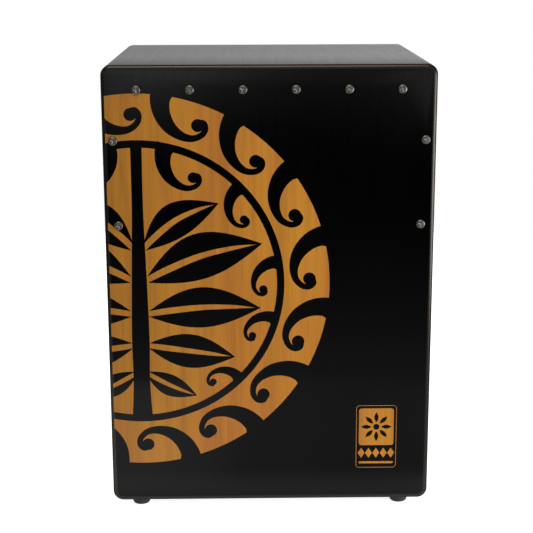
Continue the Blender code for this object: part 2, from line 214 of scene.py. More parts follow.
def amber_wood(name):
    """Clear-lacquered veneer stained amber, its grain upright and flecked, with painted shade that darkens it
    towards the left.
    """
    made, tree, shader = new_material(name, Specular_IOR_Level=0.32)
    fibre = noise(tree, (950, 950, 22), 3.0, 0.6)
    bands = noise(tree, (120, 120, 4.5), 3.0, 0.55, 0.4)
    patch = noise(tree, (11, 11, 5), 2.0, 0.5)
    fleck = noise(tree, (420, 420, 16), 1.0, 0.4)
    warm, gold, dark = (0.343, 0.119, 0.0135), (0.395, 0.164, 0.0095), (0.225, 0.072, 0.005)
    tone = ramp(tree, patch, (0.32, warm), (0.66, gold))
    tone = mixed(tree, ramp(tree, bands, (0.40, 0.0), (0.70, 0.55)), tone, dark)
    tone = mixed(tree, ramp(tree, fibre, (0.38, 0.0), (0.75, 0.32)), tone, dark)
    tone = mixed(tree, ramp(tree, fleck, (0.64, 0.0), (0.74, 0.45)), tone, (0.20, 0.055, 0.006))
    coords = tree.nodes.new("ShaderNodeTexCoord").outputs["Object"]
    # Painted shade: the veneer's colour darkens towards the tapa's left edge, standing in for less light
    # reaching it there.
    painted_shade_to_left = pool(tree, coords, "X", 7.0, 1.2, (0.0, 0.74), (0.35, 0.86), (1.0, 1.0))
    tone = mixed(tree, 1.0, tone, painted_shade_to_left, "MULTIPLY")
    tree.links.new(tone, shader.inputs["Base Color"])
    tree.links.new(ramp(tree, fibre, (0.3, 0.34), (0.7, 0.46)), shader.inputs["Roughness"])
    bumped(tree, shader, fibre, 0.00004, 0.5)
    return made


def raw_wood(name, grain_axis, light=(0.56, 0.40, 0.24), dark=(0.36, 0.22, 0.11)):
    """Bare sanded wood with its grain along one axis."""
    made, tree, shader = new_material(name, Roughness=0.72)
    across, wide = [700.0, 700.0, 700.0], [75.0, 75.0, 75.0]
    across[grain_axis], wide[grain_axis] = 16.0, 3.0
    fibre = noise(tree, across, 3.0, 0.6)
    figure = noise(tree, wide, 3.0, 0.5, 0.6)
    tone = mixed(tree, ramp(tree, figure, (0.38, 0.0), (0.70, 0.75)), light, dark)
    tone = mixed(tree, ramp(tree, fibre, (0.35, 0.0), (0.8, 0.5)), tone, dark)
    tree.links.new(tone, shader.inputs["Base Color"])
    bumped(tree, shader, fibre, 0.0001, 0.7)
    return made


def ply_edge(name, layer_axis, layers_per_metre, light, dark):
    """Plywood seen from its edge: layers of end grain and long grain in turn."""
    made, tree, shader = new_material(name, Roughness=0.75, Specular_IOR_Level=0.0)
    split = tree.nodes.new("ShaderNodeSeparateXYZ")
    tree.links.new(stretched(tree, (1, 1, 1)), split.inputs["Vector"])
    turns = math_node(tree, "MULTIPLY", split.outputs[layer_axis], layers_per_metre * math.tau / 2)
    wave = math_node(tree, "MULTIPLY_ADD", math_node(tree, "SINE", turns, 0.0), 0.5)
    wave.node.inputs[2].default_value = 0.5
    speckle = noise(tree, (800, 800, 800), 2.0, 0.6)
    tone = ramp(tree, wave, (0.42, dark), (0.58, light))
    tone = mixed(tree, ramp(tree, speckle, (0.4, 0.0), (0.7, 0.6)), tone, tuple(c * 0.7 for c in dark))
    tree.links.new(tone, shader.inputs["Base Color"])
    bumped(tree, shader, speckle, 0.0001, 0.6)
    return made


def metal(name, colour, roughness):
    """Plated steel, duller in patches, with fine turning marks."""
    made, tree, shader = new_material(name, Metallic=1.0)
    cloud = noise(tree, (420, 420, 420), 3.0, 0.6)
    darker = tuple(channel * 0.55 for channel in colour)
    tree.links.new(ramp(tree, cloud, (0.35, darker), (0.6, colour)), shader.inputs["Base Color"])
    low, high = roughness
    tree.links.new(ramp(tree, cloud, (0.3, high), (0.7, low)), shader.inputs["Roughness"])
    marks = noise(tree, (2600, 2600, 300), 1.0, 0.5)
    bumped(tree, shader, marks, 0.00002, 0.5)
    return made


def rubber(name):
    """Moulded black rubber, dusty in places."""
    made, tree, shader = new_material(name, Specular_IOR_Level=0.35)
    dust = noise(tree, (160, 160, 160), 4.0, 0.6)
    tree.links.new(ramp(tree, dust, (0.45, 0.014), (0.75, 0.045)), shader.inputs["Base Color"])
    tree.links.new(ramp(tree, dust, (0.4, 0.58), (0.7, 0.85)), shader.inputs["Roughness"])
    bumped(tree, shader, noise(tree, (1500, 1500, 1500), 2.0, 0.6), 0.00008, 0.6)
    return made


X_AXIS, Y_AXIS, Z_AXIS = 0, 1, 2
TAPA_LACQUER = lacquer("tapa_lacquer", Z_AXIS, 0.0004, (0.13, 0.19), 0.14)
# A paler, shinier and warm-tinted copy of the tapa's lacquer for the front part of the rounded edge: a
# painted highlight along the edge.
EDGE_LACQUER = lacquer("tapa_edge_lacquer", X_AXIS, 0.0020, (0.26, 0.38), 0.32, (1.0, 0.93, 0.84))
BOX_LACQUER = lacquer("box_lacquer", Y_AXIS, 0.0060, (0.24, 0.28), 0.5)
AMBER = amber_wood("amber_veneer")
WOOD_UPRIGHT = raw_wood("bare_ply_upright", Z_AXIS)
PALE_WOOD = ((0.60, 0.45, 0.28), (0.40, 0.26, 0.14))
WOOD_DEEP = raw_wood("bare_wood_deep", Y_AXIS, *PALE_WOOD)
WOOD_ACROSS = raw_wood("bare_wood_across", X_AXIS, *PALE_WOOD)
TAPA_EDGE = ply_edge("tapa_edge", "Y", 1000.0, (0.040, 0.022, 0.010), (0.016, 0.008, 0.004))
WALL_EDGE = ply_edge("wall_edge", "X", 700.0, (0.26, 0.15, 0.075), (0.10, 0.048, 0.020))
NICKEL = metal("nickel_steel", (0.128, 0.123, 0.115), (0.30, 0.46))
# A paler, rougher nickel for the cross recess: a painted highlight for the light that its walls catch.
RECESS_HIGHLIGHT_NICKEL = metal("nickel_recess_painted_highlight", (0.52, 0.47, 0.42), (0.45, 0.6))
WIRE_STEEL = metal("snare_steel", (0.66, 0.66, 0.64), (0.16, 0.30))
RUBBER = rubber("black_rubber")


# Mesh helpers


def to_mesh(bm, name, smooth_angle=None):
    bmesh.ops.recalc_face_normals(bm, faces=bm.faces)
    mesh = bpy.data.meshes.new(name)
    bm.to_mesh(mesh)
    bm.free()
    if smooth_angle:
        mesh.shade_smooth()
        mesh.set_sharp_from_angle(angle=math.radians(smooth_angle))
    return mesh


def add_object(name, mesh, materials=(), place=Matrix.Identity(4)):
    obj = bpy.data.objects.new(name, mesh)
    bpy.context.scene.collection.objects.link(obj)
    obj.matrix_world = place
    if not mesh.materials:
        for made in materials:
            mesh.materials.append(made)
    return obj


def mount(piece, body, slot, *replaced):
    """The piece rides that body and stands for those CAD nodes; slot is not used."""
    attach(piece, body)
    if replaced:
        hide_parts(*replaced)


def evaluated_copy(obj, name):
    """The object's mesh with its modifiers applied."""
    bpy.context.view_layer.update()
    result = obj.evaluated_get(bpy.context.evaluated_depsgraph_get())
    mesh = bpy.data.meshes.new_from_object(result)
    mesh.name = name
    return mesh


def cut_mesh(mesh, cutters, name):
    """mesh less the cutters' meshes. All the helper objects are removed."""
    blank = add_object("blank", mesh)
    helpers = [add_object("cutter", cutter, (), place) for cutter, place in cutters]
    for helper in helpers:
        modifier = blank.modifiers.new("cut", "BOOLEAN")
        modifier.operation = "DIFFERENCE"
        modifier.object = helper
    result = evaluated_copy(blank, name)
    for helper in (blank, *helpers):
        bpy.data.objects.remove(helper)
    return result


def arc(centre, radius, start, end, steps):
    angles = [math.radians(start + (end - start) * k / steps) for k in range(steps + 1)]
    return [(centre[0] + radius * math.cos(a), centre[1] + radius * math.sin(a)) for a in angles]


def rounded_rectangle(width, height, radius, steps):
    x, z = width / 2 - radius, height / 2 - radius
    corners = (((x, z), 0), ((-x, z), 90), ((-x, -z), 180), ((x, -z), 270))
    return [point for centre, start in corners for point in arc(centre, radius, start, start + 90, steps)]


def extruded(outline, depth):
    """A flat outline, given as (x, z), extruded from y 0 to y depth."""
    bm = bmesh.new()
    face = bm.faces.new([bm.verts.new((x, 0, z)) for x, z in outline])
    grown = bmesh.ops.extrude_face_region(bm, geom=[face])
    moved = [v for v in grown["geom"] if isinstance(v, bmesh.types.BMVert)]
    bmesh.ops.translate(bm, verts=moved, vec=(0, depth, 0))
    return bm


def turned(profile, facets, closed=False):
    """(radius, height) points turned about Z. A closed profile goes round a hole."""
    bm = bmesh.new()
    verts = [bm.verts.new((radius, 0, height)) for radius, height in profile]
    pairs = list(zip(verts, verts[1:]))
    if closed:
        pairs.append((verts[-1], verts[0]))
    edges = [bm.edges.new(pair) for pair in pairs]
    bmesh.ops.spin(
        bm, geom=verts + edges, cent=(0, 0, 0), axis=(0, 0, 1), angle=math.tau, steps=facets, use_merge=True
    )
    bmesh.ops.remove_doubles(bm, verts=bm.verts, dist=1e-7)
    return bm


def bridge(bm, rings):
    """Faces between each closed ring of points and the next."""
    for first, second in zip(rings, rings[1:]):
        for k in range(len(first)):
            following = (k + 1) % len(first)
            bm.faces.new((first[k], first[following], second[following], second[k]))


def circle_of(bm, radius, height, facets):
    """A ring of points at that height round Z."""
    angles = [math.tau * k / facets for k in range(facets)]
    return [bm.verts.new((radius * math.cos(a), radius * math.sin(a), height)) for a in angles]


# Panels


def paint_by_side(mesh, choose):
    """Gives each face the material index that choose(face centre, face normal) returns."""
    for face in mesh.polygons:
        face.material_index = choose(face.center, face.normal)


def wall_side(centre, normal):
    """Bare wood inside (1), plies on the rims and mitres (2), lacquer outside (0)."""
    if normal.z < -0.9:
        return 1
    return 2 if abs(normal.y) > 0.9 or centre.z < -WALL / 3 else 0


def build_walls():
    """Four mitred walls, lacquered outside and bare inside, their front and rear rims just eased."""
    depth = TOP_HIGH.y - TOP_LOW.y
    steps = 12
    sides = (
        ("top_panel", WIDTH, BOX_HEIGHT / 2, 0, WOOD_DEEP),
        ("right_panel", BOX_HEIGHT, WIDTH / 2, 90, WOOD_UPRIGHT),
        ("bottom_panel", WIDTH, BOX_HEIGHT / 2, 180, WOOD_DEEP),
        ("left_panel", BOX_HEIGHT, WIDTH / 2, 270, WOOD_UPRIGHT),
    )
    for node, length, distance, degrees, inner_wood in sides:
        middle = length / 2 - CORNER_RADIUS
        right = arc((middle, -CORNER_RADIUS), CORNER_RADIUS, 45, 90, steps)
        left = arc((-middle, -CORNER_RADIUS), CORNER_RADIUS, 90, 135, steps)
        inner = length / 2 - WALL
        bm = extruded([(inner, -WALL), *right, *left, (-inner, -WALL)], depth)
        level = [e for e in bm.edges if abs(e.verts[0].co.y - e.verts[1].co.y) < 1e-6]
        rims = [e for e in level if min(v.co.z for v in e.verts) > -CORNER_RADIUS / 2]
        bmesh.ops.bevel(bm, geom=rims, offset=WALL_RIM_ROUND, segments=3, profile=0.5, affect="EDGES")
        mesh = to_mesh(bm, node, 30)
        for made in (BOX_LACQUER, inner_wood, WALL_EDGE):
            mesh.materials.append(made)
        paint_by_side(mesh, wall_side)
        turn = Matrix.Rotation(math.radians(degrees), 4, "Y")
        place = Matrix.Translation((0, TOP_LOW.y, BOX_MIDDLE)) @ turn @ Matrix.Translation((0, 0, distance))
        mesh.transform(place)
        mount(add_object(f"{node}_finished", mesh), "box", "black_lacquer", node)


def plate_mesh(name, thickness, rounding, steps):
    """A full-size plate, outer face at y 0 towards -Y, its outer rim rounded over."""
    across, deep = rounding
    turn = np.linspace(0, math.pi / 2, steps + 1)
    profile = [(across * (1 - math.sin(a)), deep * (1 - math.cos(a))) for a in turn]
    profile.append((0, thickness))
    bm = bmesh.new()
    rings = []
    for inset, y in profile:
        outline = rounded_rectangle(WIDTH - 2 * inset, BOX_HEIGHT - 2 * inset, CORNER_RADIUS - inset, 16)
        rings.append([bm.verts.new((x, y, z)) for x, z in outline])
    bm.faces.new(rings[0])
    bm.faces.new(rings[-1])
    bridge(bm, rings)
    return to_mesh(bm, name)


def finish_plate(mesh, materials, choose, place):
    for made in materials:
        mesh.materials.append(made)
    paint_by_side(mesh, choose)
    mesh.shade_smooth()
    mesh.set_sharp_from_angle(angle=math.radians(30))
    mesh.transform(place)


def build_tapa(screws):
    """The playing face: lacquer over its front and rounded edge, bare plies behind."""
    thickness = TAPA_HIGH.y - TAPA_LOW.y
    place = Matrix.Translation((0, FACE_Y, BOX_MIDDLE))
    holes = []
    for name in screws:
        low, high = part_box(name)
        spot = Matrix.Translation(((low.x + high.x) / 2, 0, (low.z + high.z) / 2 - BOX_MIDDLE))
        bm = bmesh.new()
        bmesh.ops.create_cone(
            bm, cap_ends=True, segments=32, radius1=SCREW_HOLE_RADIUS, radius2=SCREW_HOLE_RADIUS, depth=0.02,
            matrix=Matrix.Rotation(math.pi / 2, 4, "X"),
        )
        holes.append((to_mesh(bm, "hole"), spot))
    mesh = cut_mesh(plate_mesh("tapa_finished", thickness, TAPA_ROUND, 10), holes, "tapa_finished")

    def choose(centre, normal):
        if normal.y > 0.9:
            return 1
        if normal.y < -0.999:
            return 0
        # Index 3 is the shinier lacquer copy of the painted highlight.
        return 2 if centre.y > TAPA_SPRAYED else 3

    finish_plate(mesh, (TAPA_LACQUER, WOOD_UPRIGHT, TAPA_EDGE, EDGE_LACQUER), choose, place)
    mount(add_object("tapa_finished", mesh), "box", "tapa_lacquer", "tapa")


def build_back():
    """The back panel: lacquered outside and round the sound hole's rim, bare inside."""
    thickness = BACK_HIGH.y - BACK_LOW.y
    beyond, outer_round, inner_round = 0.004, 0.0025, 0.0015
    hole = SOUND_HOLE_RADIUS
    outer = arc((hole + outer_round, -outer_round), outer_round, 90, 180, 6)
    inner = arc((hole + inner_round, inner_round - thickness), inner_round, 180, 270, 4)
    profile = [(0, beyond), (hole + outer_round, beyond), *outer, *inner]
    profile += [(hole + inner_round, -thickness - beyond), (0, -thickness - beyond)]
    spool = to_mesh(turned(profile, 128), "spool")
    place = Matrix.Translation((0, 0, BOX_HEIGHT / 2 - SOUND_HOLE_DROP))
    place = place @ Matrix.Rotation(math.pi / 2, 4, "X")
    mesh = cut_mesh(plate_mesh("back", thickness, BACK_ROUND, 5), [(spool, place)], "back_panel_finished")
    turn = Matrix.Translation((0, BACK_HIGH.y, BOX_MIDDLE)) @ Matrix.Rotation(math.pi, 4, "Z")
    finish_plate(mesh, (BOX_LACQUER, WOOD_UPRIGHT), lambda centre, normal: 1 if normal.y > 0.9 else 0, turn)
    mount(add_object("back_panel_finished", mesh), "box", "black_lacquer", "back_panel")


# Screws


def cross_cutter(arm, depth):
    """The tapered cross of a Phillips recess, mouth up at z 0, with rounded inner corners."""
    half_slot = arm * 0.19
    inner = half_slot * 1.5
    quarter = [(arm, -half_slot), (arm * 1.04, 0), (arm, half_slot), (inner * 1.25, half_slot)]
    quarter += [(inner, inner), (half_slot, inner * 1.25)]
    outline = []
    for k in range(4):
        c, s = round(math.cos(k * math.pi / 2)), round(math.sin(k * math.pi / 2))
        outline += [(x * c - y * s, x * s + y * c) for x, y in quarter]
    bm = bmesh.new()
    rings = []
    for scale, z in ((1.2, depth * 0.5), (0.62, -depth * 0.75), (0.34, -depth)):
        rings.append([bm.verts.new((x * scale, y * scale, z)) for x, y in outline])
    bm.faces.new(rings[0])
    bm.faces.new(rings[-1])
    bridge(bm, rings)
    return to_mesh(bm, "cross")


def threaded_shank(bm, radius, length, thread_pitch, thread_depth, facets=24):
    """A wood screw's shank from z 0 down to its point, its surface rising and falling with the thread."""
    rows = int(length / thread_pitch * 8)
    tip = radius * 2.4
    rings = []
    for row in range(rows):
        z = -length * row / rows
        taper = min(1.0, (length + z) / tip)
        fade = min(1.0, -z / (2 * thread_pitch))
        ring = []
        for k in range(facets):
            phase = (z / thread_pitch + k / facets) % 1.0
            crest = max(0.0, 1 - abs(phase - 0.5) * 4) * fade
            r = taper * (radius + thread_depth * crest - thread_depth * 0.5 * fade)
            angle = math.tau * k / facets
            ring.append(bm.verts.new((r * math.cos(angle), r * math.sin(angle), z)))
        rings.append(ring)
    bridge(bm, rings)
    point = bm.verts.new((0, 0, -length))
    for k in range(facets):
        bm.faces.new((rings[-1][k], rings[-1][(k + 1) % facets], point))
    return rings[0]


def screw_mesh(name, head_radius, head_height, shank_radius, length):
    """A pan-head wood screw with a cross recess, head towards +Z, its underside at z 0."""
    facets = 48
    bm = bmesh.new()
    shank = threaded_shank(bm, shank_radius, length, 0.0016, 0.0004, facets)
    shoulder = arc((0.64, 0.36), 1, 84, 6, 9)
    dome = [(0.30, 1.0), (0.48, 0.985)]
    dome += [(0.64 + (r - 0.64) * 0.36, 0.36 + (h - 0.36) * 0.60) for r, h in shoulder]
    dome += [(1.0, 0.24), (0.99, 0.10), (0.96, 0.0)]
    rings = [shank]
    rings += [circle_of(bm, head_radius * r, head_height * h, facets) for r, h in reversed(dome)]
    bridge(bm, rings)
    bm.faces.new(rings[-1])
    blank = to_mesh(bm, name)
    cutter = cross_cutter(head_radius * 0.56, head_height * 0.62)
    mesh = cut_mesh(blank, [(cutter, Matrix.Translation((0, 0, head_height)))], name)
    mesh.shade_smooth()
    mesh.set_sharp_from_angle(angle=math.radians(38))
    for made in (NICKEL, RECESS_HIGHLIGHT_NICKEL):
        mesh.materials.append(made)
    recess = head_radius * 0.60

    # The recess walls and floor take the paler nickel, as a painted highlight.
    def choose(centre, normal):
        wall = centre.z > head_height * 0.3 and math.hypot(centre.x, centre.y) < recess and normal.z < 0.97
        floor = 0 < centre.z < head_height * 0.5 and normal.z > 0.97
        return 1 if wall or floor else 0

    paint_by_side(mesh, choose)
    return mesh


def facing(point, direction):
    """A matrix at that point whose own +Z looks front, up or down."""
    turns = {"front": 90, "up": 0, "down": 180}
    return Matrix.Translation(point) @ Matrix.Rotation(math.radians(turns[direction]), 4, "X")


def build_screws(tapa_screws):
    """Every screw, each turned by its own amount, as a person's screwdriver left it."""
    chance = random.Random(11)
    # Start of the name, head radius and height, shank radius and length, and where the head looks
    kinds = (
        ("tapa_screw", 0.0048, 0.0026, 0.0021, 0.0220, "front"),
        ("foot_screw", 0.0039, 0.0024, 0.0018, 0.0170, "down"),
        ("bar_screw", 0.0036, 0.0022, 0.0017, 0.0300, "down"),
        ("snare_screw", 0.0030, 0.0018, 0.0014, 0.0100, "front"),
    )
    for kind, head_radius, head_height, shank_radius, length, direction in kinds:
        mesh = screw_mesh(f"{kind}_fine", head_radius, head_height, shank_radius, length)
        for node in sorted(frame["nodes"]):
            if not node.startswith(kind):
                continue
            low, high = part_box(node)
            centre = (low + high) / 2
            if direction == "front":
                seat = Vector((centre.x, low.y + head_height, centre.z))
            else:
                seat = Vector((centre.x, centre.y, low.z + head_height))
            turn = Matrix.Rotation(chance.uniform(0, math.tau), 4, "Z")
            piece = add_object(f"{node}_fine", mesh, (), facing(seat, direction) @ turn)
            mount(piece, node if node in tapa_screws else "box", "nickel_steel", node)


# Feet


def foot_profile(radius, top):
    """Half the foot's section: a grooved, slightly tapered side and a counterbore for the screw's head."""
    bore, counterbore, shoulder = 0.0024, 0.0048, 0.0070
    top_ease, groove, sole_round = 0.0006, 0.00035, 0.0018
    profile = [(bore, top), *arc((radius - top_ease, top - top_ease), top_ease, 90, 0, 4)]
    profile += [(radius, top * 0.78), (radius - groove, top * 0.74), (radius - groove, top * 0.70)]
    profile += [(radius - 0.00005, top * 0.66), (radius - 0.0001, top * 0.56), (radius - 0.0006, top * 0.26)]
    profile += arc((radius - 0.0010 - sole_round, sole_round), sole_round, -10, -90, 6)
    profile += [(counterbore + 0.0004, 0), (counterbore, 0.0004), (counterbore, shoulder)]
    return profile + [(bore, shoulder)]


def washer_profile(outer, thickness):
    bore, ease = 0.0021, 0.00015
    rim = [(outer - ease, thickness), (outer, thickness - ease), (outer, ease), (outer - ease, 0)]
    return [(bore, thickness), *rim, (bore, 0)]


def stand(node, section, facets, made, slot):
    """A turned piece in the place of an upright node, its section made from the node's radius and height."""
    low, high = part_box(node)
    profile = section((high.x - low.x) / 2, high.z - low.z)
    mesh = to_mesh(turned(profile, facets, closed=True), node, 35)
    place = Matrix.Translation(((low.x + high.x) / 2, (low.y + high.y) / 2, low.z))
    mount(add_object(f"{node}_fine", mesh, [made], place), "box", slot, node)


def build_feet():
    """Rubber feet, eased where the floor wears them, each over its steel washer."""
    for level in ("front", "rear"):
        for side in ("left", "right"):
            stand(f"foot_{level}_{side}", foot_profile, 64, RUBBER, "black_rubber")
            stand(f"foot_washer_{level}_{side}", washer_profile, 48, NICKEL, "nickel_steel")


# Inside


def build_snares():
    """Two sets of ten coiled wires, soldered to a folded plate and leaning forward to the tapa."""
    strands, pitch, coil_radius, wire_radius = 10, 0.0042, 0.0009, 0.00022
    turn_pitch, points_in_turn, sides = 0.0014, 8, 5
    for side in ("left", "right"):
        node = f"snare_wires_{side}"
        low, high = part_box(node)
        middle = (low.x + high.x) / 2
        plate_bottom, plate_height, thickness = low.z, 0.014, 0.0010
        plate_front = high.y - thickness
        bm = bmesh.new()
        plate = bmesh.ops.create_cube(
            bm,
            size=1,
            matrix=Matrix.Translation((middle, plate_front + thickness / 2, plate_bottom + plate_height / 2))
            @ Matrix.Diagonal((high.x - low.x, thickness, plate_height, 1)),
        )
        edges = list({e for v in plate["verts"] for e in v.link_edges})
        bmesh.ops.bevel(bm, geom=edges, offset=0.0003, segments=2, profile=0.5, affect="EDGES")
        foot = Vector((0, plate_front - coil_radius * 0.3, plate_bottom + plate_height - 0.003))
        head = Vector((0, low.y + coil_radius, high.z - coil_radius))
        run = head - foot
        along = run.normalized()
        sideways = Vector((1, 0, 0))
        outward = along.cross(sideways)
        turns = run.length / turn_pitch
        count = int(turns * points_in_turn)
        for strand in range(strands):
            x = middle + (strand - (strands - 1) / 2) * pitch
            rings = []
            for k in range(count + 1):
                angle = math.tau * k / points_in_turn
                radial = sideways * math.cos(angle) + outward * math.sin(angle)
                centre = Vector((x, 0, 0)) + foot + run * (k / count) + radial * (coil_radius - wire_radius)
                ring = []
                for j in range(sides):
                    spin = math.tau * j / sides
                    across = radial * math.cos(spin) + along * math.sin(spin)
                    ring.append(bm.verts.new(centre + across * wire_radius))
                rings.append(ring)
            bridge(bm, rings)
            bm.faces.new(rings[0])
            bm.faces.new(rings[-1])
        piece = add_object(f"{node}_coiled", to_mesh(bm, node, 40), [WIRE_STEEL])
        mount(piece, "box", "snare_steel", node)


def finish_woodwork():
    """The battens, blocks, cleats and bar keep their CAD solids, with eased edges and bare wood."""
    for node, obj in frame["nodes"].items():
        if node.startswith("corner_block") or node.startswith("snare_cleat"):
            wood = WOOD_DEEP
        elif node in ("top_batten", "snare_bar"):
            wood = WOOD_ACROSS
        else:
            continue
        obj.data.materials.clear()
        obj.data.materials.append(wood)
        ease = obj.modifiers.new("eased_edges", "BEVEL")
        ease.width = 0.0007
        ease.segments = 2
        ease.limit_method = "ANGLE"
        ease.angle_limit = math.radians(50)


# The ornament: outlines in millimetres, painted one over another


AMBER_PAINT, BLACK_PAINT = 1, 0


def polar(angle, radius):
    """A point at that angle clockwise from straight up."""
    return (radius * math.sin(math.radians(angle)), radius * math.cos(math.radians(angle)))


def circle(centre, radius, steps=96):
    return arc(centre, radius, 0, 360, steps)[:-1]


def ring(inner, outer, steps=192):
    return arc((0, 0), outer, 0, 360, steps) + arc((0, 0), inner, 360, 0, steps)


def raised(outline, rise):
    return [(x, y + rise) for x, y in outline]


def ribbon(points, half_widths):
    """The outline of a stroke along the points, as wide there as its half widths say."""
    left, right = [], []
    for k, ((x, y), half) in enumerate(zip(points, half_widths)):
        before, after = points[max(k - 1, 0)], points[min(k + 1, len(points) - 1)]
        dx, dy = after[0] - before[0], after[1] - before[1]
        length = math.hypot(dx, dy)
        left.append((x - dy / length * half, y + dx / length * half))
        right.append((x + dy / length * half, y - dx / length * half))
    return left + right[::-1]


def smooth_step(p, q, r, s, t):
    """The value at t between q and r on a Catmull-Rom curve, with p before them and s after."""
    square, cube = 2 * p - 5 * q + 4 * r - s, 3 * q - p - 3 * r + s
    return 0.5 * (2 * q + (r - p) * t + square * t**2 + cube * t**3)


def stroke(*knots, steps=9):
    """A tapered stroke on a smooth curve through (x, y, half width) knots."""
    padded = [knots[0], *knots, knots[-1]]
    points = []
    for four in zip(padded, padded[1:], padded[2:], padded[3:]):
        for k in range(steps):
            points.append(tuple(smooth_step(*values, k / steps) for values in zip(*four)))
    points.append(knots[-1])
    return ribbon([(x, y) for x, y, _ in points], [max(half, 0.05) for _, _, half in points])


def wave(angle, radius, scale=1.0):
    """A black wave scroll hanging inward from a ring: a broad mouth and an arm that curls to a ball.

    Its knots and its ball are distance clockwise, distance outward and half width or radius.
    """
    knots = (
        (-3, 7, 12.5), (-5, -4, 10.6), (-1.5, -18, 9.0), (8, -31, 7.0), (21, -38.6, 4.9),
        (33.5, -40, 3.6), (43, -35, 3.2), (46, -28, 3.2), (43.5, -22.5, 3.2), (39, -21.5, 2.6),
    )
    ball = (37.5, -25.5, 6.8)
    c, s = math.cos(math.radians(angle)), math.sin(math.radians(angle))
    placed = []
    for clockwise, outward, half in (*knots, ball):
        u, v = clockwise * scale, radius + outward * scale
        placed.append((u * c + v * s, v * c - u * s, half * scale))
    *arm, (x, y, ball_radius) = placed
    return [(BLACK_PAINT, stroke(*arm)), (BLACK_PAINT, circle((x, y), ball_radius, 28))]


def beside(root, tip, share, bulge):
    """A point at that share of the line from root to tip, moved left by bulge at the line's middle."""
    dx, dy = tip[0] - root[0], tip[1] - root[1]
    length = math.hypot(dx, dy)
    rise = bulge * math.sin(math.pi * max(share, 0))
    return (root[0] + dx * share - dy / length * rise, root[1] + dy * share + dx / length * rise)


def leaf(root, tip, left, right):
    """A pointed leaf whose sides stand left and right of the line from its root to its tip."""
    steps = 20
    out = [beside(root, tip, k / steps, left) for k in range(steps + 1)]
    return out + [beside(root, tip, k / steps, -right) for k in range(steps - 1, 0, -1)]


def veined_leaf(root, tip, left, right, rib):
    """A black leaf with an amber midrib that follows its bend and stops short of its tip."""
    bend = (left - right) * 0.5
    taper = ((-0.02, 0.9), (0.22, 1.15), (0.50, 1.0), (0.76, 0.7), (0.95, 0.0))
    spine = [(*beside(root, tip, share, bend), rib * width) for share, width in taper]
    return [(BLACK_PAINT, leaf(root, tip, left, right)), (AMBER_PAINT, stroke(*spine))]


def medallion():
    """A band of wave scrolls round an amber field, where a stem bears leaf pairs and smaller scrolls."""
    shapes = [(AMBER_PAINT, circle((0, 0), BAND_OUTER, 256))]
    for k in range(-2, 10):
        shapes += wave(FIRST_WAVE + k * 360 / WAVES_IN_CIRCLE, BAND_OUTER)
    shapes.append((BLACK_PAINT, circle((0, 0), BAND_INNER, 192)))
    shapes.append((AMBER_PAINT, circle((0, 0), FIELD, 192)))
    right = [
        *wave(13, FIELD, 0.85),
        *veined_leaf((3, 36), (86, 88), 28, 10, 3.0),
        *wave(47, FIELD, 0.68),
        *veined_leaf((4, 2), (132, 44), 33, 17, 3.2),
        *wave(82, FIELD, 0.66),
        *veined_leaf((4, -34), (130, -27), 27, 18, 3.0),
        *wave(106, FIELD, 0.60),
        *veined_leaf((4, -68), (102, -82), 19, 19, 2.8),
        *wave(136, FIELD, 0.55),
        *veined_leaf((3, -98), (60, -126), 10, 14, 2.2),
    ]
    for paint, outline in right:
        shapes.append((paint, outline))
        shapes.append((paint, [(-x, y) for x, y in outline]))
    stem = stroke((0, 150, 6), (0, 80, 6), (0, 10, 8), (0, -60, 9.5), (0, -110, 9), (0, -150, 11))
    shapes.append((BLACK_PAINT, stem))
    shapes.append((BLACK_PAINT, ring(FIELD, BAND_INNER)))
    edge = (LEFT_BORDER - MEDALLION_X) / MM
    shapes.append((BLACK_PAINT, [(-250, -250), (edge, -250), (edge, 250), (-250, 250)]))
    return shapes


def badge():
    """A plain framed badge: a panel with a rosette cut into it, over a row of lozenges and a bar."""
    line, eye = 0.55, 11.5
    shapes = [
        (AMBER_PAINT, rounded_rectangle(BADGE_WIDTH, BADGE_HEIGHT, 4.0, 8)),
        (BLACK_PAINT, rounded_rectangle(BADGE_WIDTH - 2 * line, BADGE_HEIGHT - 2 * line, 3.2, 8)),
        (AMBER_PAINT, raised(rounded_rectangle(38.4, 43, 3.0, 8), eye)),
    ]
    for k in range(8):
        petal = leaf(polar(45 * k, 5.0), polar(45 * k, 17.0), 2.3, 2.3)
        shapes.append((BLACK_PAINT, raised(petal, eye)))
    shapes.append((BLACK_PAINT, circle((0, eye), 3.4, 32)))
    for k in range(5):
        x = (k - 2) * 8.2
        shapes.append((AMBER_PAINT, [(x + 3.9, -19.0), (x, -13.2), (x - 3.9, -19.0), (x, -24.8)]))
    shapes.append((AMBER_PAINT, raised(rounded_rectangle(38, 2.4, 1.0, 6), -30.3)))
    return shapes


def covered(points, outline):
    """Which of the points lie inside an outline, by its winding number."""
    winding = np.zeros(len(points))
    ends = np.array(outline)
    for (x0, y0), (x1, y1) in zip(ends, np.roll(ends, -1, axis=0)):
        side = (x1 - x0) * (points[:, 1] - y0) - (points[:, 0] - x0) * (y1 - y0)
        winding += (y0 <= points[:, 1]) & (y1 > points[:, 1]) & (side > 0)
        winding -= (y0 > points[:, 1]) & (y1 <= points[:, 1]) & (side < 0)
    return winding != 0


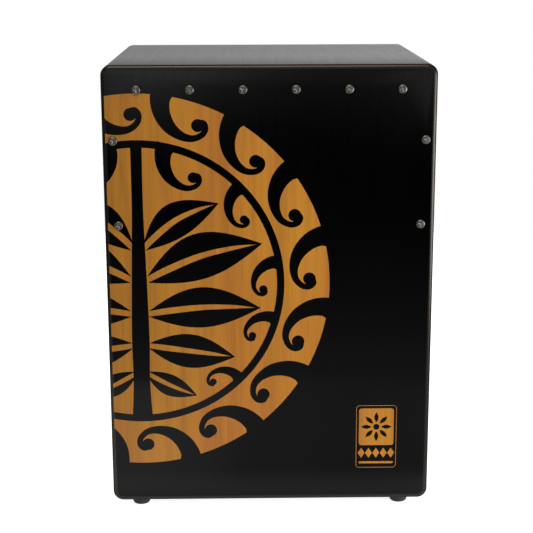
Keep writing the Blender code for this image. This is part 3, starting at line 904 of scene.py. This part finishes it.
def painted(name, shapes, x, z):
    """The amber that is left showing when the shapes are painted in order, as one thin raised layer."""
    verts, edges = [], []
    for _, outline in shapes:
        first, count = len(verts), len(outline)
        verts += [Vector(point) for point in outline]
        edges += [(first + k, first + (k + 1) % count) for k in range(count)]
    points, _, faces, *_ = geometry.delaunay_2d_cdt(verts, edges, [], 0, 1e-4)
    centres = np.array([sum((points[i] for i in face), Vector((0, 0))) / len(face) for face in faces])
    paint = np.full(len(faces), BLACK_PAINT)
    for colour, outline in shapes:
        paint[covered(centres, outline)] = colour
    bm = bmesh.new()
    corners = [bm.verts.new((px * MM, 0, py * MM)) for px, py in points]
    for face, colour in zip(faces, paint):
        if colour == AMBER_PAINT:
            bm.faces.new([corners[i] for i in face])
    bmesh.ops.delete(bm, geom=[v for v in bm.verts if not v.link_faces], context="VERTS")
    bmesh.ops.dissolve_limit(bm, angle_limit=math.radians(0.5), verts=bm.verts, edges=bm.edges)
    grown = bmesh.ops.extrude_face_region(bm, geom=list(bm.faces))
    moved = [v for v in grown["geom"] if isinstance(v, bmesh.types.BMVert)]
    bmesh.ops.translate(bm, verts=moved, vec=(0, -PAINT_THICKNESS, 0))
    bmesh.ops.translate(bm, verts=bm.verts, vec=(x, FACE_Y, z))
    piece = add_object(name, to_mesh(bm, name), [AMBER])
    mount(piece, "box", "amber_veneer")


# Stage, light and camera


def build_floor():
    """A pale floor with painted light: it glows most round the box and towards its left, whiter still where
    the camera sees it, and its colour is darker a little way in front of the tapa.
    """
    made, tree, shader = new_material("floor_white", Roughness=0.9, Specular_IOR_Level=0.0)
    shader.inputs["Emission Color"].default_value = (1, 1, 1, 1)
    spot = tree.nodes.new("ShaderNodeTexCoord").outputs["Object"]
    # Painted light: the floor glows under and round the box and just in front of it, which lifts the box's
    # shadow and brightens the floor that the tapa mirrors.
    near = pool(tree, spot, "Y", -1, FACE_Y, (0.0, 0.65), (0.065, 0.65), (0.11, 0.05), (0.5, 0.0))
    # Painted light: a pool of glow in front of the box, strongest to the left and fading to the right.
    left = pool(tree, spot, "X", 2, 0.5, (0.20, 1.0), (0.34, 0.8), (0.44, 0.42), (0.60, 0.32), (0.76, 0.2))
    reach = pool(tree, spot, "Y", -1, FACE_Y, (0.02, 0.0), (0.10, 1.0), (0.46, 0.9))
    glow = math_node(tree, "MULTIPLY_ADD", math_node(tree, "MULTIPLY", left, reach), 0.95)
    tree.links.new(near, glow.node.inputs[2])
    seen = tree.nodes.new("ShaderNodeLightPath")
    whiter = math_node(tree, "MULTIPLY_ADD", seen.outputs["Is Camera Ray"], 0.25)
    tree.links.new(glow, whiter.node.inputs[2])
    tree.links.new(whiter, shader.inputs["Emission Strength"])
    pale = ramp(tree, noise(tree, (3, 3, 3)), (0.3, 0.50), (0.7, 0.54))
    # Painted shade: the floor's colour darkens from 7 to 12 cm in front of the tapa, which dims the floor
    # that the tapa mirrors.
    fade = pool(tree, spot, "Y", -1, FACE_Y, (0.07, 1.0), (0.12, 0.62))
    tree.links.new(mixed(tree, 1.0, pale, fade, "MULTIPLY"), shader.inputs["Base Color"])
    bm = bmesh.new()
    bmesh.ops.create_circle(bm, cap_ends=True, segments=96, radius=FLOOR_RADIUS)
    mesh = to_mesh(bm, "floor")
    mesh.transform(Matrix.Translation((0, FACE_Y - FLOOR_IN_FRONT + FLOOR_RADIUS, 0)))
    add_object("floor", mesh, [made])


def build_world():
    """A soft surround: greys that the lacquer mirrors, white where the camera sees it.

    Behind the box it is brightest a little above the horizon. Ahead of it, a glow lies low on either side.
    """
    world = bpy.data.worlds.new("studio")
    bpy.context.scene.world = world
    world.use_nodes = True
    tree = world.node_tree
    way = tree.nodes.new("ShaderNodeTexCoord").outputs["Generated"]
    behind = pool(
        tree, way, "Z", 0.5, 0.5,
        (0.44, 0.10), (0.50, 0.44), (0.54, 0.53), (0.58, 0.66), (0.64, 0.71), (0.72, 0.33),
    )
    lean = pool(tree, way, "X", 2.5, 0.5, (0.2, 0.80), (0.8, 1.06))
    ahead = pool(tree, way, "Z", 0.5, 0.5, (0.46, 0.0), (0.50, 0.5), (0.56, 0.60), (0.70, 0.25), (0.90, 0.15))
    low = pool(
        tree, way, "Z", 0.5, 0.5,
        (0.424, 0.0), (0.4365, 0.10), (0.4456, 0.38), (0.453, 0.7), (0.47, 0.9), (0.50, 0.0),
    )
    floor_away = pool(
        tree, way, "Z", 0.5, 0.5,
        (0.335, 0.62), (0.349, 0.48), (0.361, 0.30), (0.376, 0.17), (0.41, 0.0),
    )
    across = pool(
        tree, way, "X", 1, 0.5,
        (0.22, 0.0), (0.33, 0.5), (0.385, 1.0), (0.44, 0.74), (0.48, 0.38), (0.532, 0.21), (0.60, 0.18),
        (0.65, 0.6), (0.78, 0.0),
    )
    glow = math_node(tree, "MULTIPLY", math_node(tree, "MULTIPLY", low, across), 2.85)
    ahead = mixed(tree, 1.0, mixed(tree, 1.0, ahead, floor_away, "ADD"), glow, "ADD")
    turn = pool(tree, way, "Y", 0.5, 0.5, (0.25, 0.0), (0.60, 1.0))
    dome = mixed(tree, turn, ahead, mixed(tree, 1.0, behind, lean, "MULTIPLY"))
    seen = tree.nodes.new("ShaderNodeLightPath")
    tone = mixed(tree, seen.outputs["Is Camera Ray"], dome, (1.0, 1.0, 1.0))
    tree.links.new(tone, tree.nodes["Background"].inputs["Color"])


def soft_box(name, location, target, size, power):
    light = bpy.data.lights.new(name, "AREA")
    light.shape = "RECTANGLE"
    light.size, light.size_y = size
    light.energy = power
    obj = bpy.data.objects.new(name, light)
    bpy.context.scene.collection.objects.link(obj)
    obj.location = location
    obj.rotation_euler = (Vector(target) - Vector(location)).to_track_quat("-Z", "Y").to_euler()


def build_lights():
    middle = (0, 0, BOX_MIDDLE)
    soft_box("key", (-0.20, -1.35, 1.75), middle, (1.3, 1.0), 24)
    soft_box("fill", (0.80, -0.62, 0.26), (0, 0, 0.2), (0.6, 0.44), 8)
    soft_box("floor_light", (0.0, 0.6, 2.2), (0, 0.2, 0), (1.8, 1.8), 40)


def build_camera():
    camera = bpy.data.cameras.new("camera")
    camera.sensor_width = 36
    camera.lens = 88.17
    obj = bpy.data.objects.new("camera", camera)
    bpy.context.scene.collection.objects.link(obj)
    obj.location = (-0.0242, FACE_Y - 1.3571, 0.6106)
    obj.rotation_euler = [math.radians(angle) for angle in (76.337, 0.160, -0.906)]
    bpy.context.scene.camera = obj


def main():
    build_camera()
    build_floor()
    build_world()
    build_lights()
    tapa_screws = [name for name in frame["bodies"] if name != "box"]
    build_walls()
    build_tapa(tapa_screws)
    build_back()
    build_screws(tapa_screws)
    build_feet()
    build_snares()
    finish_woodwork()
    painted("tapa_medallion", medallion(), TAPA_LOW.x + MEDALLION_X, TAPA_LOW.z + MEDALLION_Z)
    painted("tapa_badge", badge(), BADGE_X, TAPA_LOW.z + BADGE_Z)
    bpy.context.scene.view_settings.view_transform = "Standard"


main()
bpy.context.view_layer.update()
